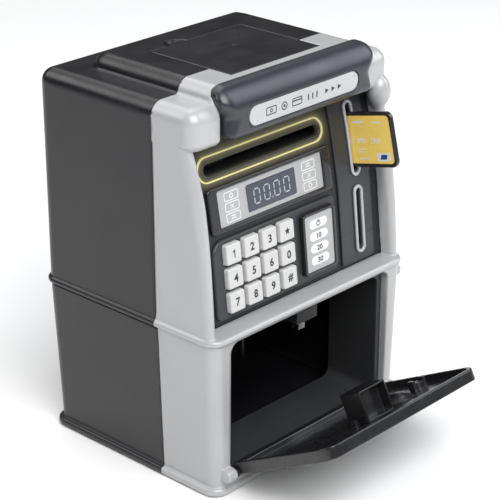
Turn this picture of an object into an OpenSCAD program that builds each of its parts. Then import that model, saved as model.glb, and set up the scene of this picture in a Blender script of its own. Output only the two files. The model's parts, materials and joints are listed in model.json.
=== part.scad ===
// Toy cash machine savings bank: keypad unit on top, cash box with a fold-down door below.
// Millimetres. Origin: centre of the footprint, on the table. X right, Y to the back, Z up.
// The front faces -Y. The door is drawn open, the toy card is drawn half inserted.

/* [Body] */
// width over the waist flange
waist_w = 144; // [132:1:156]
// front of the waist flange, distance in front of the centre
waist_front = 61; // [58:0.5:64]
// back of the waist flange, distance behind the centre
waist_back = 60; // [57:0.5:63]
// height of the parting line between cash box and keypad unit
waist_z = 81.5; // [78:0.5:86]
// thickness of the waist flange
flange_t = 3.5; // [2.5:0.5:5]
// height of the shoulders
body_top = 194; // [186:1:200]
// height of the raised deck
deck_top = 201; // [198:0.5:206]
// wall thickness of the shells
wall = 2.4; // [2:0.1:3]
// vertical corner radius of the shells
corner_r = 7; // [4:0.5:10]

/* [Cash box] */
// inward draft of the side walls at the foot
draft_x = 2.5; // [0:0.5:4]
// width of the door opening
opening_w = 117; // [100:1:120]
// door opening angle in the drawn pose, from the closed position
door_open = 62.5; // [0:0.5:75]
// door height measured from its lower edge
door_h = 68; // [60:0.5:69]
// door width
door_w = 114.4; // [98:0.2:116]

/* [Keypad] */
// pitch of the key columns
key_pitch_x = 12.45; // [11.5:0.05:13]
// pitch of the key rows
key_pitch_z = 12; // [11.5:0.1:13]
// side of one key
key_size = 10.4; // [9:0.1:11]
// key height above the plate
key_rise = 2.4; // [1.5:0.1:4]

/* [Slots and card] */
// width of the banknote slot
note_slot_w = 80; // [70:1:84]
// height of the banknote slot
note_slot_h = 5; // [4:0.5:6]
// width of the coin slot
coin_slot_w = 3.2; // [2.6:0.1:3.8]
// length of the toy card
card_len = 45; // [40:0.2:48]
// height of the toy card
card_h = 28.2; // [24:0.2:30]

/* [Hidden] */
$fn = 64;
eps = 0.01;
hw = waist_w / 2 - 1.5;         // half width of the keypad unit
bx = hw - corner_r;
seam_y = -20.5;                 // parting plane between light frame and dark shell
yb = waist_back - 1.5;          // back face of the keypad unit
zf = waist_z + flange_t;        // top face of the waist flange
hinge_y = -60.5;
hinge_z = 11.5;
lean1 = atan(4.5 / 43);         // keypad part of the fascia
lean2 = atan(4.4 / 24);         // display part
lean3 = atan(6.2 / 25);         // banknote slot part
card_tilt = 13.5;
deck_back = 41.5;
note_x = -15.4;
note_v = 8.2;
card_x = 46.8;
key_x0 = -46.4;
key_v0 = 10.1;

// ---- helpers ----

// centred rounded rectangle
module rr(w, h, r) {
  square([w - 2 * r, h], center = true);
  square([w, h - 2 * r], center = true);
  for (i = [-1, 1], j = [-1, 1]) translate([i * (w / 2 - r), j * (h / 2 - r)]) circle(r);
}
// rounded rectangle from corner to corner
module rbox(x0, y0, x1, y1, r)
  translate([(x0 + x1) / 2, (y0 + y1) / 2]) rr(x1 - x0, y1 - y0, r);
// rectangle rounded only at the two top corners, seen from the front (x, z)
module arch(w, z0, z1, r) {
  translate([-w / 2, z0]) square([w, z1 - z0 - r]);
  translate([-w / 2 + r, z0]) square([w - 2 * r, z1 - z0]);
  for (i = [-1, 1]) translate([i * (w / 2 - r), z1 - r]) circle(r);
}
module block(x0, x1, y0, y1, z0, z1) translate([x0, y0, z0]) cube([x1 - x0, y1 - y0, z1 - z0]);
// solid from a front view outline (x, z) between two depths
module from_front(y0, y1) translate([0, y1, 0]) rotate([90, 0, 0]) linear_extrude(y1 - y0) children();
// solid from a side view outline (y, z) between two x positions
module from_side(x0, x1)
  translate([x0, 0, 0]) rotate([90, 0, 90]) linear_extrude(x1 - x0) children();
// rod along x
module rod(x0, x1, y, z, r) translate([x0, y, z]) rotate([0, 90, 0]) cylinder(h = x1 - x0, r = r);
// flat frame of the three fascia planes: x right, y up the face, z outward
module on1() translate([0, -49.6, 86]) rotate([90 - lean1, 0, 0]) children();
module on2() translate([0, -45.1, 129]) rotate([90 - lean2, 0, 0]) children();
module on3() translate([0, -40.7, 153]) rotate([90 - lean3, 0, 0]) children();
// card frame: x across the thickness, y along the insertion, z up the card
module on_card() translate([card_x, -73.5, 143.55]) rotate([-card_tilt, 0, 0]) children();
// door frame: y through the thickness, z along the height, drawn around the hinge axis
module on_door() translate([0, hinge_y, hinge_z]) rotate([door_open, 0, 0]) children();
// side outline following the fascia, from offset a in front to offset b in front
module skin(a, b, z0, z1)
  polygon(concat(
    [[fy(z0) - a, z0]], [for (z = [129, 153]) if (z > z0 && z < z1) [fy(z) - a, z]],
    [[fy(z1) - a, z1], [fy(z1) - b, z1]],
    [for (z = [153, 129]) if (z > z0 && z < z1) [fy(z) - b, z]], [[fy(z0) - b, z0]]));
function fy(z) = z < 129 ? -49.6 + (z - 86) * 4.5 / 43
  : z < 153 ? -45.1 + (z - 129) * 4.4 / 24 : -40.7 + (z - 153) * 6.2 / 25;

// ---- keypad unit shells ----

module upper_body(g, y0, y1) {
  // outer form of the dark housing, shrunk by g
  intersection() {
    translate([0, 0, waist_z - 1]) linear_extrude(140)
      rbox(-hw + g, -100, hw - g, yb - g, corner_r - g + 1);
    from_front(y0, y1) arch(2 * (hw - g), waist_z - 1, body_top - g, 7 - g + 1);
    from_side(-80, 80) {
      translate([-100, waist_z - 1]) square([100 + yb - g - 7, body_top - g - waist_z + 1]);
      translate([-100, waist_z - 1]) square([100 + yb - g, body_top - g - waist_z - 6]);
      translate([yb - g - 7, body_top - g - 7]) circle(7);
    }
  }
}
module deck_body(g, y0, y1) {
  intersection() {
    from_front(y0, y1) arch(106 - 2 * g, body_top - 8, deck_top - g, 7 - g / 2);
    from_side(-80, 80) {
      translate([-100, body_top - 8]) square([100 + deck_back - g - 7, deck_top - g - body_top + 8]);
      translate([-100, body_top - 8]) square([100 + deck_back - g, 8 - g]);
      translate([deck_back - g - 7, deck_top - g - 7]) circle(7);
    }
  }
}
module upper_shell() color([0.2, 0.2, 0.22]) {
  difference() {
    union() {
      upper_body(0, seam_y, 80);
      deck_body(0, seam_y, 80);
      // waist bead, dark half
      intersection() {
        translate([0, 0, waist_z]) linear_extrude(flange_t)
          rbox(-waist_w / 2, -100, waist_w / 2, waist_back, corner_r + 1);
        block(-80, 80, seam_y, 80, waist_z, zf);
      }
    }
    upper_body(wall, seam_y - 1, 80);
    deck_body(wall, seam_y - 1, 80);
    block(-100, 100, -100, 100, waist_z - 2, waist_z);
    // battery opening
    block(-31.7, 31.7, seam_y - 1, 19.3, deck_top - wall - 1, deck_top + 1);
    // finger notch behind the lid
    translate([-13, 19, deck_top - 1.6]) cylinder(h = 4, r = 8);
    // sound holes
    for (i = [-3 : 3], j = [-3 : 3]) if (i * i + j * j < 11)
      translate([i * 3.6, yb - wall - 1, 140 + j * 3.6]) rotate([-90, 0, 0])
        cylinder(h = wall + 2, r = 0.8, $fn = 24);
    // base of the note drop stays open below, two screw seats in the bead
    for (i = [-1, 1]) translate([i * 40, yb - wall - 3, waist_z - 1]) cylinder(h = 3, r = 1, $fn = 24);
  }
}

cheek = 4.2;
// side outline of the light frame: column front, corner block, top
frame_pts = [[seam_y, zf - eps], [-58.4, zf - eps], [-57.8, 96], [-56.3, 112], [-54.3, 132],
  [-51.6, 147], [-48, 161], [-45, 169], [-42.6, 173.5], [-44.5, 174.3], [-46.3, 176.2],
  [-47, 179], [-47, body_top - 6], [-46.2, body_top - 2.9], [-44, body_top - 0.8],
  [-41, body_top], [seam_y, body_top]];
module frame_solid(x0, x1) from_side(x0, x1) polygon(frame_pts);
// slanted reveal between column front and fascia, on side s
module reveal(s) intersection() {
  frame_solid(s > 0 ? 60 : -hw, s > 0 ? hw : -60);
  linear_extrude(200) polygon([[s * 63.8, -20], [s * 63.8, -49], [s * 66.3, -59], [s * 71, -59],
    [s * 71, -20]]);
  from_side(-80, 80) skin(0.15, 30, 86.2, 176);
}
module front_frame() color([0.82, 0.83, 0.84]) {
  difference() {
    union() {
      // cheeks and corner blocks
      intersection() {
        union() {
          frame_solid(-hw, -hw + cheek);
          frame_solid(hw - cheek, hw);
          reveal(-1);
          reveal(1);
          for (s = [-1, 1]) intersection() {
            frame_solid(s > 0 ? 51 : -hw, s > 0 ? hw : -51);
            block(-80, 80, -60, seam_y, 173.5, body_top);
          }
          // roof strip behind the visor
          block(-51.5, 51.5, -38.6, seam_y, body_top - wall, body_top);
          block(-51.5, 51.5, -38.6, -36.2, 178.4, body_top);
        }
        from_front(-80, seam_y) arch(2 * hw, waist_z, body_top, 8);
      }
      // deck band
      difference() {
        deck_body(0, -40.6, seam_y);
        block(-100, 100, -100, 0, body_top - 10, body_top - wall);
      }
      // waist flange, light half
      intersection() {
        translate([0, 0, waist_z]) linear_extrude(flange_t)
          rbox(-waist_w / 2, -waist_front, waist_w / 2, waist_back, corner_r + 1);
        block(-80, 80, -70, seam_y, waist_z, zf);
      }
      // barrel-shaped swelling at the head of the right column
      translate([64.4, -45, 172.2]) rotate_extrude()
        polygon([for (a = [-90 : 15 : 90]) [6 * cos(a), 8.6 * sin(a)]]);
    }
    // hollow of the flange behind its front shelf
    block(-hw + cheek, hw - cheek, -48, 0, waist_z - 1, zf + 1);
    block(-hw + cheek, hw - cheek, -51.8, 0, waist_z - 1, zf - 1.3);
    // hollow corner blocks and deck
    for (s = [-1, 1]) block(s > 0 ? 53.4 : -hw + cheek, s > 0 ? hw - cheek : -53.4,
      -33.4, 0, 170, body_top - wall);
    deck_body(wall, -38.2, 0);
    // slit that takes the top of the fascia
    from_side(-hw + cheek, hw - cheek) skin(-3, 0.1, 86, 178.5);
    from_side(32.7, 58.3) skin(0, 1.5, 86, 178.5);
    // lid notch and lid hinge room
    block(-31.7, 31.7, -34.3, 0, deck_top - wall - 1, deck_top + 1);
  }
}

// ---- fascia ----

module slot2d(x, z0, z1, w) translate([x, (z0 + z1) / 2]) rr(w, z1 - z0, w / 2 - 0.02);
module key_spots(first = 0, last = 11)
  for (k = [first : last]) translate([key_x0 + (k % 4) * key_pitch_x,
    key_v0 + (2 - floor(k / 4)) * key_pitch_z, 0]) children();
module card_hole() intersection() {
  from_front(-80, 0) slot2d(card_x, 134.8, 167.9, 3.6);
  block(0, 80, -60, -30, 120, 180);
}
module coin_hole() intersection() {
  from_front(-80, 0) slot2d(card_x, 94.2, 124.8, coin_slot_w);
  block(0, 80, -60, -30, 80, 130);
}
module note_hole() on3() translate([note_x, note_v, -6]) linear_extrude(12) rr(note_slot_w, note_slot_h, 2.2);
module fascia() color([0.13, 0.13, 0.14]) difference() {
  from_side(-hw + cheek + 0.25, hw - cheek - 0.25) skin(-2.5, 0, 86.2, 178.2);
  on1() key_spots() translate([0, 0, -5]) linear_extrude(10) rr(key_size + 0.5, key_size + 0.5, 1.2);
  note_hole();
  card_hole();
  coin_hole();
  // seat of the light ring
  on3() translate([note_x, note_v, -1.2]) linear_extrude(3)
    difference() { rr(89.4, 13.8, 6.8); rr(85.4, 9.8, 4.8); }
}
module bay_panel() color([0.16, 0.16, 0.17]) difference() {
  from_side(33, 58) skin(0, 1.2, 87.2, 176.2);
  card_hole();
  coin_hole();
}
module light_ring() color([1, 0.86, 0.25]) on3() translate([note_x, note_v, -1.2]) linear_extrude(1.8)
  difference() { rr(89, 13.4, 6.6); rr(85.8, 10.2, 5); }
module ring_leds() color([0.1, 0.4, 0.2]) on3() {
  translate([-55.7, 15.2, -4.4]) cube([81.8, 6, 1.2]);
  for (i = [0 : 5]) translate([-53.4 + i * 14.8, 16.6, -3.2]) cube([3.2, 2.6, 0.6]);
}
module display_bezel() color([0.08, 0.08, 0.09]) on2() linear_extrude(1.8) difference() {
  rbox(-57.4, 1.2, 29, 24, 2.5);
  rbox(-51, 3.6, 23, 21.8, 1.2);
}
module display_label() color([0.78, 0.79, 0.8]) on2() linear_extrude(1) difference() {
  rbox(-50.8, 3.8, 22.8, 21.6, 1);
  rbox(-31.2, 6, 3.2, 19.2, 1);
}
module display_screen() color([0.05, 0.07, 0.1]) on2() linear_extrude(0.8) rbox(-31, 6.2, 3, 19, 0.8);
module keypad_plate() color([0.2, 0.2, 0.21]) on1() difference() {
  linear_extrude(1.4) rbox(-58.6, 2, 29, 42, 3);
  key_spots() translate([0, 0, -1]) linear_extrude(10) rr(key_size + 0.5, key_size + 0.5, 1.2);
}
module amount_block() color([0.08, 0.08, 0.09]) on1() translate([0, 0, 1.4]) difference() {
  linear_extrude(2.8) rbox(1.8, 5.8, 26.4, 38.4, 2.4);
  translate([0, 0, 2]) linear_extrude(2) rbox(3.4, 7.6, 24.2, 36.8, 1.4);
}
module amount_label() color([0.8, 0.81, 0.82]) on1() translate([0, 0, 3.4]) linear_extrude(0.5)
  rbox(3.5, 7.7, 24.1, 36.7, 1.3);
module key(k) color([0.9, 0.9, 0.88]) on1() key_spots(k, k) {
  translate([0, 0, -2.7]) linear_extrude(1.4 + 2.7 + key_rise - 1.2) rr(key_size, key_size, 1.2);
  translate([0, 0, 1.4 + key_rise - 1.2]) linear_extrude(0.6) rr(key_size - 0.5, key_size - 0.5, 1.1);
  translate([0, 0, 1.4 + key_rise - 0.6]) linear_extrude(0.6) rr(key_size - 1.3, key_size - 1.3, 1);
  translate([0, 0, -3.9]) linear_extrude(1.2) rr(key_size + 1.3, key_size + 1.3, 0.6);
}
module key_1() key(0);
module key_2() key(1);
module key_3() key(2);
module key_star() key(3);
module key_4() key(4);
module key_5() key(5);
module key_6() key(6);
module key_0() key(7);
module key_7() key(8);
module key_8() key(9);
module key_9() key(10);
module key_hash() key(11);
module key_membrane() color([0.5, 0.5, 0.52]) on1() {
  translate([0, 0, -7.4]) linear_extrude(1) rbox(-54, 3.2, -1, 41, 2);
  key_spots() translate([0, 0, -6.4]) cylinder(h = 1, r1 = 3.4, r2 = 2.6, $fn = 32);
}
module main_board() color([0.08, 0.35, 0.18]) on1() {
  translate([-58, 2.2, -9.1]) cube([98, 41, 1.6]);
  for (p = [[-40, 20], [-14, 24], [14, 16]]) translate([p[0], p[1], -11.1]) cube([12, 12, 2]);
  for (p = [[-24, 10], [4, 34], [30, 30]]) translate([p[0], p[1], -14.1]) cylinder(h = 5, r = 3, $fn = 32);
}
module card_slot_bezel() color([0.74, 0.75, 0.76]) intersection() {
  from_side(40, 60) skin(1.2, 2.5, 130, 174);
  from_front(-80, 0) difference() { slot2d(card_x, 132.2, 170.6, 7); slot2d(card_x, 134.6, 168.2, 3.8); }
}
module coin_slot_bezel() color([0.74, 0.75, 0.76]) intersection() {
  from_side(40, 60) skin(1.2, 2.5, 90, 128.9);
  from_front(-80, 0) difference() { slot2d(card_x, 91.7, 127.4, 7); slot2d(card_x, 94.1, 125, 3.4); }
}

// ---- card and coin ways ----

module card_guide() color([0.12, 0.12, 0.13]) on_card() difference() {
  translate([-3.1, 34.5, -2]) cube([6.2, 34, card_h + 4]);
  translate([-1.5, 34, -0.35]) cube([3, 33, card_h + 0.7]);
}
module toy_card() color([0.05, 0.05, 0.06]) on_card() difference() {
  translate([1.1, 0, 0]) rotate([0, -90, 0]) linear_extrude(2.2) rbox(0, 0, card_h, card_len, 3.6);
  translate([-0.8, 0, 0]) rotate([0, -90, 0]) linear_extrude(2)
    rbox(1.8, 1.8, card_h - 1.8, card_len - 1.8, 2.2);
}
module card_face() color([0.85, 0.66, 0.22]) on_card() translate([-0.8, 0, 0]) rotate([0, -90, 0])
  linear_extrude(0.2) rbox(1.9, 1.9, card_h - 1.9, card_len - 1.9, 2.1);
module coin_chute() color([0.12, 0.12, 0.13]) difference() {
  block(card_x - 3.7, card_x + 3.7, -42.6, -11, 86.1, 125.8);
  // coin pocket, open at the front and over the drop
  block(card_x - 1.9, card_x + 1.9, -60, -13, 94, 124.6);
  from_side(card_x - 1.9, card_x + 1.9) polygon([[-43, 94.01], [-13, 94.01], [-13, 80], [-32, 80],
    [-32, 88.6], [-43, 93.6]]);
}

// ---- note feed ----

ny = -22;     // roller line
module note_chute() color([0.12, 0.12, 0.13]) difference() {
  union() {
    // intake tray and side walls
    block(-58, 28.4, -35.2, -13, 155.4, 157.4);
    for (x = [-58, 26.4]) block(x, x + 2, -33, -13, 147, 171);
    // drop shaft
    block(-58, 28.4, -13, -1, 86.1, 166);
  }
  block(-56, 26.4, -11, -3, 80, 170);
  block(-56, 26.4, -14, -4, 157.4, 163.4);
  // windows for the feed rollers
  for (x = [-36, 6]) block(x - 7.4, x + 7.4, ny - 7, ny + 7, 150, 160);
  rod(-70, 40, ny, 153.8, 1.6);
  rod(-70, 40, ny, 164.4, 1.3);
  // motor shaft passage
  rod(-70, -50, ny, 139.3, 2);
}
module feed_roller() color([0.15, 0.15, 0.15]) {
  rod(-65.2, 30, ny, 153.8, 1.5);
  for (x = [-36, 6]) rod(x - 6, x + 6, ny, 153.8, 6);
}
module pinch_roller() color([0.3, 0.3, 0.31]) {
  rod(-58.8, 29.2, ny, 164.4, 1.2);
  for (x = [-36, 6]) rod(x - 6, x + 6, ny, 164.4, 4.2);
}
// spur wheel with n teeth about the x axis
module spur(x0, x1, y, z, n, m, bore, turn) translate([x0, y, z]) rotate([0, 90, 0]) difference() {
  linear_extrude(x1 - x0) {
    circle(m * n / 2 - 1.25 * m);
    for (i = [0 : n - 1]) rotate(i * 360 / n + turn) polygon([
      [m * n / 2 - 1.4 * m, -0.95 * m], [m * n / 2, -0.7 * m], [m * n / 2 + 0.9 * m, -0.32 * m],
      [m * n / 2 + 0.9 * m, 0.32 * m], [m * n / 2, 0.7 * m], [m * n / 2 - 1.4 * m, 0.95 * m]]);
  }
  translate([0, 0, -1]) cylinder(h = x1 - x0 + 2, r = bore);
}
// wheel centres are 14.5 mm apart: 20 and 9 teeth, module 1
module feed_gear() color([0.85, 0.85, 0.8]) spur(-64.8, -61.4, ny, 153.8, 20, 1, 1.5, 0);
module motor_pinion() color([0.72, 0.6, 0.3]) {
  spur(-64.8, -61.4, ny, 139.3, 9, 0.98, 0.9, 0);
  rod(-65.2, -55.8, ny, 139.3, 0.9);
}
module feed_motor() color([0.6, 0.61, 0.63]) difference() {
  union() {
    rod(-55.6, -53.6, ny, 139.3, 3);
    intersection() {
      rod(-53.8, -30, ny, 139.3, 8.8);
      block(-60, 0, ny - 9, ny + 7, 139.3 - 6.6, 139.3 + 6.6);
    }
  }
  rod(-56, -52, ny, 139.3, 1);
}

// ---- visor ----

module visor() color([0.16, 0.18, 0.21]) difference() {
  intersection() {
    from_side(-50.6, 50.6) polygon([[-38.7, 177], [-48.6, 177], [-51, 177.7], [-52.3, 179.4],
      [-52.6, 181], [-52.6, 191.4], [-51.6, 195], [-49.4, 198.4], [-46.4, 200.9], [-43, 202.1],
      [-40.8, 202.1], [-40.8, 191.4], [-38.7, 191.4]]);
    from_front(-60, -30) {
      rbox(-50.6, 177, 50.6, 202.1, 8);
      // ends that reach over the corner blocks
      rbox(-55.6, 194.2, 55.6, 202.1, 3.9);
    }
  }
  // hollow back
  block(-46, 46, -48.8, -38, 180, 189.6);
}
module visor_label() color([0.8, 0.81, 0.83]) from_front(-53.1, -52.6)
  rbox(-38.6, 181.2, 38.6, 191, 4.8);

// ---- battery bay ----

module battery_box() color([0.12, 0.12, 0.13]) difference() {
  block(-33, 33, -35.6, 20.6, 181.6, deck_top - wall - 0.1);
  block(-31.4, 31.4, -34, 19, 183.1, deck_top);
}
module battery_contacts() color([0.8, 0.8, 0.82]) for (i = [0 : 2]) {
  block(-31.4, -31, -23 + i * 15.6 - 5.6, -23 + i * 15.6 + 5.6, 184, 197);
  block(31, 31.4, -23 + i * 15.6 - 5.6, -23 + i * 15.6 + 5.6, 184, 197);
  rod(25.6, 31.1, -23 + i * 15.6, 190.5, 2.8);
}
module battery(i) color([0.15, 0.35, 0.5]) {
  rod(-24.8, 25.5, -23 + i * 15.6, 190.5, 7.1);
  rod(-30.9, -24.9 + 0.2, -23 + i * 15.6, 190.5, 2.7);
}
module battery_1() battery(0);
module battery_2() battery(1);
module battery_3() battery(2);
module battery_lid() color([0.15, 0.15, 0.16]) {
  difference() {
    block(-31.4, 31.4, -33.2, 19, deck_top - 2, deck_top);
    translate([3.5, -3.5, deck_top - 0.6]) cylinder(h = 2, r = 1.6, $fn = 32);
  }
  // round front edge, on which the lid tilts
  rod(-31.4, 31.4, -33.2, deck_top - 1, 1);
  intersection() {
    translate([-13, 19, deck_top - 1.5]) cylinder(h = 1.3, r = 5);
    block(-30, 10, 18, 30, 190, 210);
  }
}

// ---- mechanism floor, lock, speaker ----

module mechanism_floor() color([0.14, 0.14, 0.15]) difference() {
  translate([0, 0, 83.4]) linear_extrude(2.5)
    rbox(-hw + cheek + 0.3, -47.7, hw - cheek - 0.3, yb - wall - 0.4, 3);
  block(-56, 26.4, -11, -3, 80, 90);
  block(card_x - 2.1, card_x + 2.1, -32, -13, 80, 90);
  for (x = [-60, 60], y = [-35, 45]) translate([x, y, 80]) cylinder(h = 10, r = 1.3, $fn = 32);
}
module floor_screws() color([0.7, 0.7, 0.72]) for (x = [-60, 60], y = [-35, 45]) translate([x, y, 0]) {
  translate([0, 0, 81.7]) cylinder(h = 1.7, r = 2.6, $fn = 32);
  translate([0, 0, 83.3]) cylinder(h = 8, r = 1.3, $fn = 32);
}
module lock_housing() color([0.12, 0.12, 0.13]) difference() {
  union() {
    block(-7.5, 7.5, -55.3, -42, 71, 77.2);
    block(-7.5, 7.5, -52.8, -42, 77.1, 81.2);
    block(-7.5, 7.5, -51, -42, 81.1, 83.35);
  }
  block(-2.6, 2.6, -52.1, -46.9, 60, 82);
}
module lock_bolt() color([0.75, 0.75, 0.77]) {
  block(-2.3, 2.3, -51.8, -47.2, 66, 81);
  difference() {
    block(-2.3, 2.3, -51.8, -47.2, 65, 66.1);
    from_side(-5, 5) polygon([[-52, 65.6], [-52, 64], [-50.4, 64]]);
  }
}
module speaker() color([0.25, 0.25, 0.26]) translate([0, yb - wall - 0.1, 140]) rotate([90, 0, 0]) {
  difference() { cylinder(h = 2, r = 15); translate([0, 0, -1]) cylinder(h = 4, r = 12.4); }
  translate([0, 0, 1.9]) cylinder(h = 3, r1 = 13, r2 = 7);
  translate([0, 0, 4.8]) cylinder(h = 4, r = 7);
}

// ---- cash box ----

// drafted rounded box, shrunk by g
module lower_body(g) hull() {
  translate([0, 0, waist_z - 0.2]) linear_extrude(0.2)
    rbox(-hw + g, -59.4 + g, hw - g, yb - g, corner_r - g / 2, $fn = 32);
  translate([0, 0, 0.6]) linear_extrude(0.2)
    rbox(-hw + draft_x + g, -58.4 + g, hw - draft_x - g, yb - 2.4 - g, corner_r - g / 2, $fn = 32);
}
module half(front) block(-90, 90, front ? -90 : seam_y - 1.5, front ? seam_y - 1.5 : 90, -5, 100);
module lower_shell() color([0.2, 0.2, 0.22]) difference() {
  intersection() {
    union() {
      lower_body(0);
      translate([0, 0, 0.5]) linear_extrude(4) rbox(-69.4, -60, 69.4, 57.6, corner_r + 1);
    }
    half(false);
  }
  difference() {
    lower_body(wall);
    block(-90, 90, -90, 90, -5, 4.5);
    // screw posts
    for (x = [-62.5, 62.5]) translate([x, 47, 0]) cylinder(h = 14, r = 3.4);
  }
  // recess for the floor plate
  translate([0, 0, -0.1]) linear_extrude(2.7) rbox(-66, -56, 66, 54, 5);
  difference() {
    translate([0, 0, 2.5]) linear_extrude(2.1) rbox(-63, -53, 63, 51, 5);
    for (x = [-62.5, 62.5]) translate([x, 47, 0]) cylinder(h = 14, r = 3.4);
  }
  for (x = [-62.5, 62.5]) translate([x, 47, -1]) cylinder(h = 12, r = 1.3, $fn = 32);
}
module lower_frame() color([0.82, 0.83, 0.84]) difference() {
  union() {
    intersection() {
      union() {
        difference() {
          lower_body(0);
          difference() {
            lower_body(wall);
            block(-90, 90, -90, 90, -5, 4.5);
            for (x = [-63, 63]) translate([x, -50, 0]) cylinder(h = 14, r = 3.4);
            // thick front columns with the door stop ring
            block(-90, 90, -90, -53, 0, 100);
          }
        }
        translate([0, 0, 0.5]) linear_extrude(4) rbox(-69.4, -60, 69.4, 57.6, corner_r + 1);
      }
      half(true);
    }
    // hinge lugs in front of the columns
    for (s = [-1, 1]) {
      rod(s > 0 ? 58.7 : -64.8, s > 0 ? 64.8 : -58.7, hinge_y, hinge_z, 3.2);
      block(s > 0 ? 58.7 : -64.8, s > 0 ? 64.8 : -58.7, hinge_y, -57, hinge_z - 3.2, hinge_z + 3.2);
    }
    // stay lug high on the right side
    block(hw - 1, 72, -57, -50, 72.6, 78.6);
  }
  // door opening
  from_front(-70, -40) rbox(-opening_w / 2, 7.2, opening_w / 2, 80.2, 5);
  // knuckle room for the door ends
  rod(-opening_w / 2, opening_w / 2, hinge_y, hinge_z, 5.4);
  translate([0, 0, -0.1]) linear_extrude(2.7) rbox(-66, -56, 66, 54, 5);
  translate([0, 0, 2.5]) linear_extrude(2.1) rbox(-63, -50, 63, 51, 5);
  for (x = [-63, 63]) translate([x, -50, -1]) cylinder(h = 12, r = 1.3, $fn = 32);
  rod(-64, 64, hinge_y, hinge_z, 1.25);
}
// dark sleeve behind the door: the door stops against its front edge
module vault_liner() color([0.17, 0.17, 0.18]) difference() {
  from_front(-55.5, seam_y - 2.5) rbox(-opening_w / 2 + 0.2, 7.4, opening_w / 2 - 0.2, 80, 4.8);
  from_front(-60, 0) rbox(-54.5, 9.6, 54.5, 77.4, 5);
  // room for the lock
  block(-7.7, 7.7, -60, -41.8, 70, 90);
}
module base_plate() color([0.18, 0.18, 0.19]) difference() {
  linear_extrude(2.5) rbox(-65.7, -55.7, 65.7, 53.7, 4.8);
  for (p = screw_at) translate([p[0], p[1], -1]) {
    cylinder(h = 5, r = 1.3, $fn = 32);
    cylinder(h = 1.9, r = 2.8, $fn = 32);
  }
  for (x = [-50, 50], y = [-44, 36]) translate([x, y, -1]) cylinder(h = 2.2, r = 6.2);
}
module feet() color([0.1, 0.1, 0.1]) for (x = [-50, 50], y = [-44, 36])
  translate([x, y, 0]) cylinder(h = 1.2, r = 6);
screw_at = [[-62.5, 47], [62.5, 47], [-63, -50], [63, -50]];
module base_screws() color([0.7, 0.7, 0.72]) for (p = screw_at) translate([p[0], p[1], 0]) {
  translate([0, 0, 0.3]) cylinder(h = 0.6, r = 2.5, $fn = 32);
  translate([0, 0, 0.8]) cylinder(h = 10, r = 1.3, $fn = 32);
}

// ---- door ----

module door() color([0.17, 0.17, 0.18]) on_door() difference() {
  union() {
    difference() {
      // outer block with clipped free corners
      from_front(-1.6, 4.6) polygon([[-door_w / 2, -0.2], [door_w / 2, -0.2],
        [door_w / 2, door_h - 6], [door_w / 2 - 4, door_h - 0.2], [-door_w / 2 + 4, door_h - 0.2],
        [-door_w / 2, door_h - 6]]);
      // tray
      from_front(1, 5) polygon([[-door_w / 2 + 2.2, 4.6], [door_w / 2 - 2.2, 4.6],
        [door_w / 2 - 2.2, door_h - 6.8], [door_w / 2 - 5, door_h - 2.6],
        [-door_w / 2 + 5, door_h - 2.6], [-door_w / 2 + 2.2, door_h - 6.8]]);
    }
    // hinge roll along the lower edge
    rod(-door_w / 2, door_w / 2, 0, 0, 2.6);
    // back of the finger dish
    translate([25, 0.9, 38]) rotate([-90, 0, 0]) {
      cylinder(h = 2, r1 = 10.5, r2 = 9.5);
      translate([0, 0, 1.9]) cylinder(h = 2.7, r1 = 9.5, r2 = 5);
    }
    // pronged post and small clip
    translate([43, 0.9, 38]) rotate([-90, 0, 0]) cylinder(h = 4, r = 3.2);
    for (a = [-1, 1]) block(43 + a * 4 - 1, 43 + a * 4 + 1, 0.9, 6.4, 36, 40);
    block(-14, -11.4, 0.9, 4.4, 40, 45);
  }
  // finger dish from outside
  translate([25, -2, 38]) rotate([-90, 0, 0]) cylinder(h = 3.6, r = 7.6);
  translate([43, 2, 38]) rotate([-90, 0, 0]) cylinder(h = 4, r = 1.4, $fn = 32);
  rod(-door_w / 2 - 1, -door_w / 2 + 5, 0, 0, 1.35);
  rod(door_w / 2 - 5, door_w / 2 + 1, 0, 0, 1.35);
}
module latch_box() color([0.15, 0.15, 0.16]) on_door() difference() {
  block(-9.6, 9.6, 1.05, 17, 36.4, 50);
  // pocket for the bolt, and the hollow below it
  block(-8.8, 8.8, 2, 16.1, 44.3, 51);
  block(-8.4, 8.4, 2.4, 15.7, 36, 42.8);
}
module hinge_pins() color([0.75, 0.75, 0.77]) {
  rod(-64, -53, hinge_y, hinge_z, 1.25);
  rod(53, 64, hinge_y, hinge_z, 1.25);
}

upper_shell();
front_frame();
lower_shell();
lower_frame();
vault_liner();
base_plate();
feet();
base_screws();
mechanism_floor();
floor_screws();
fascia();
bay_panel();
light_ring();
ring_leds();
display_bezel();
display_label();
display_screen();
keypad_plate();
amount_block();
amount_label();
key_membrane();
main_board();
key_1();
key_2();
key_3();
key_4();
key_5();
key_6();
key_7();
key_8();
key_9();
key_0();
key_star();
key_hash();
card_slot_bezel();
coin_slot_bezel();
card_guide();
coin_chute();
toy_card();
card_face();
note_chute();
feed_roller();
feed_gear();
pinch_roller();
motor_pinion();
feed_motor();
visor();
visor_label();
battery_box();
battery_contacts();
battery_1();
battery_2();
battery_3();
battery_lid();
lock_housing();
lock_bolt();
door();
latch_box();
hinge_pins();
speaker();
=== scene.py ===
"""Looks of the toy cash machine savings bank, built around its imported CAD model.

Shapes are written in millimetres and scaled to metres when a mesh is made.
X points right, Y to the back, Z up; the front faces -Y.
Moulded pieces are distance fields (negative inside), turned into meshes by mould().
"""

import json
import math

import bpy
import numpy as np
import openvdb
from mathutils import Matrix, Vector


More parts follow.
